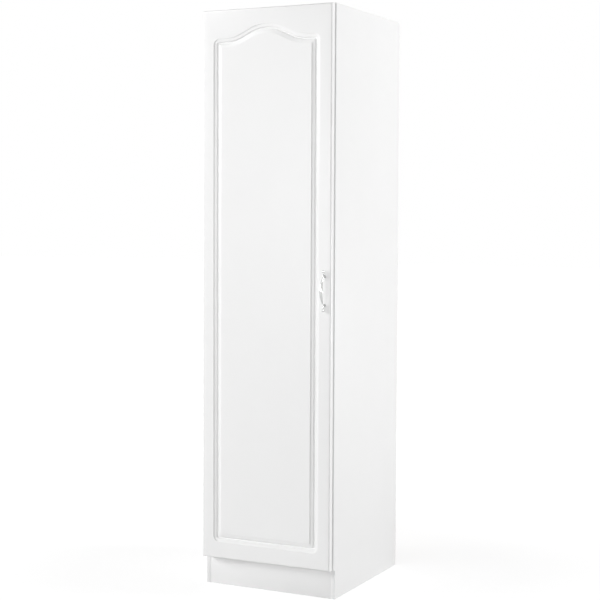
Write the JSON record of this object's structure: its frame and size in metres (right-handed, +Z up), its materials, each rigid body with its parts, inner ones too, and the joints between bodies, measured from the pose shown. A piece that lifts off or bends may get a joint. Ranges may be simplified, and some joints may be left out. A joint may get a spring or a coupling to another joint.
{
  "type": "broom cupboard",
  "caption": "Tall white kitchen broom cupboard: moulded arch-topped door on concealed hinges, slim chrome bow handle, recessed plinth, shelves above a high space for brooms.",
  "frame": {"origin": "on the floor at the middle of the overall footprint: x = 0 halves the width, y = 0 halves the depth from the rear edges to the front of the handle", "axes": "+Z up, the door faces -Y, the wall side is +Y, hinges at -X, handle at +X"},
  "size_m": [0.5, 0.6, 2],
  "materials": {
    "white_board": "satin white melamine",
    "door_foil": "smooth white foil, satin",
    "hardboard": "white lacquered hardboard",
    "white_plastic": "matt white plastic",
    "nickel_steel": "nickel plated",
    "cast_zinc": "as-cast zinc",
    "chrome": "polished chrome",
    "beech": "turned beech",
    "clear_bumper": "soft translucent"
  },
  "bodies": {
    "carcass": {"side_panel_left": "white_board", "side_panel_right": "white_board", "bottom_panel": "white_board", "top_panel": "white_board", "fixed_shelf": "white_board", "adjustable_shelf": "white_board", "plinth_board": "white_board", "back_panel_lower": "hardboard", "back_panel_upper": "hardboard", "back_joint_strip": "white_plastic", "shelf_pins": "nickel_steel", "cam_locks": "cast_zinc", "cam_bolts": "nickel_steel", "wooden_dowels": "beech", "wall_bracket_left": "nickel_steel", "wall_bracket_right": "nickel_steel", "wall_bracket_screws": "nickel_steel", "plate_screws": "nickel_steel", "arm_screws": "nickel_steel", "hinge_arm_pins": "nickel_steel", "hinge_arm_1": "nickel_steel", "mounting_plate_1": "nickel_steel", "hinge_arm_2": "nickel_steel", "mounting_plate_2": "nickel_steel", "hinge_arm_3": "nickel_steel", "mounting_plate_3": "nickel_steel", "hinge_arm_4": "nickel_steel", "mounting_plate_4": "nickel_steel"},
    "door": {"door_panel": "door_foil", "handle_bow": "chrome", "handle_screws": "nickel_steel", "door_bumpers": "clear_bumper", "cup_screws": "nickel_steel", "hinge_cup_pins": "nickel_steel", "hinge_cup_1": "nickel_steel", "hinge_cup_2": "nickel_steel", "hinge_cup_3": "nickel_steel", "hinge_cup_4": "nickel_steel"},
    "outer_link_1": {"outer_link_1": "nickel_steel"},
    "outer_link_2": {"outer_link_2": "nickel_steel"},
    "outer_link_3": {"outer_link_3": "nickel_steel"},
    "outer_link_4": {"outer_link_4": "nickel_steel"},
    "inner_link_1": {"inner_link_1": "nickel_steel"},
    "inner_link_2": {"inner_link_2": "nickel_steel"},
    "inner_link_3": {"inner_link_3": "nickel_steel"},
    "inner_link_4": {"inner_link_4": "nickel_steel"}
  },
  "joints": [
    {"name": "outer_link_1_turn", "type": "hinge", "parent": "carcass", "child": "outer_link_1", "pos_m": [-0.2121, -0.2443, 0.202], "axis": [0, 0, 1], "range_deg": [0, 40.8]},
    {"name": "door_swing", "type": "hinge", "parent": "outer_link_1", "child": "door", "pos_m": [-0.2344, -0.25, 0.202], "axis": [0, 0, -1], "range_deg": [0, 135.7]},
    {"name": "outer_link_2_turn", "type": "hinge", "parent": "carcass", "child": "outer_link_2", "pos_m": [-0.2121, -0.2443, 0.762], "axis": [0, 0, 1], "range_deg": [0, 40.8]},
    {"name": "outer_link_3_turn", "type": "hinge", "parent": "carcass", "child": "outer_link_3", "pos_m": [-0.2121, -0.2443, 1.322], "axis": [0, 0, 1], "range_deg": [0, 40.8]},
    {"name": "outer_link_4_turn", "type": "hinge", "parent": "carcass", "child": "outer_link_4", "pos_m": [-0.2121, -0.2443, 1.882], "axis": [0, 0, 1], "range_deg": [0, 40.8]},
    {"name": "inner_link_1_turn", "type": "hinge", "parent": "carcass", "child": "inner_link_1", "pos_m": [-0.2139, -0.2539, 0.202], "axis": [0, 0, 1], "range_deg": [0, 23.8]},
    {"name": "inner_link_2_turn", "type": "hinge", "parent": "carcass", "child": "inner_link_2", "pos_m": [-0.2139, -0.2539, 0.762], "axis": [0, 0, 1], "range_deg": [0, 23.8]},
    {"name": "inner_link_3_turn", "type": "hinge", "parent": "carcass", "child": "inner_link_3", "pos_m": [-0.2139, -0.2539, 1.322], "axis": [0, 0, 1], "range_deg": [0, 23.8]},
    {"name": "inner_link_4_turn", "type": "hinge", "parent": "carcass", "child": "inner_link_4", "pos_m": [-0.2139, -0.2539, 1.882], "axis": [0, 0, 1], "range_deg": [0, 23.8]}
  ],
  "couplings": [
    {"joint": "outer_link_1_turn", "follows": "door_swing", "ratio": 0.3},
    {"joint": "outer_link_2_turn", "follows": "door_swing", "ratio": 0.3},
    {"joint": "outer_link_3_turn", "follows": "door_swing", "ratio": 0.3},
    {"joint": "outer_link_4_turn", "follows": "door_swing", "ratio": 0.3},
    {"joint": "inner_link_1_turn", "follows": "door_swing", "ratio": 0.175},
    {"joint": "inner_link_2_turn", "follows": "door_swing", "ratio": 0.175},
    {"joint": "inner_link_3_turn", "follows": "door_swing", "ratio": 0.175},
    {"joint": "inner_link_4_turn", "follows": "door_swing", "ratio": 0.175}
  ]
}
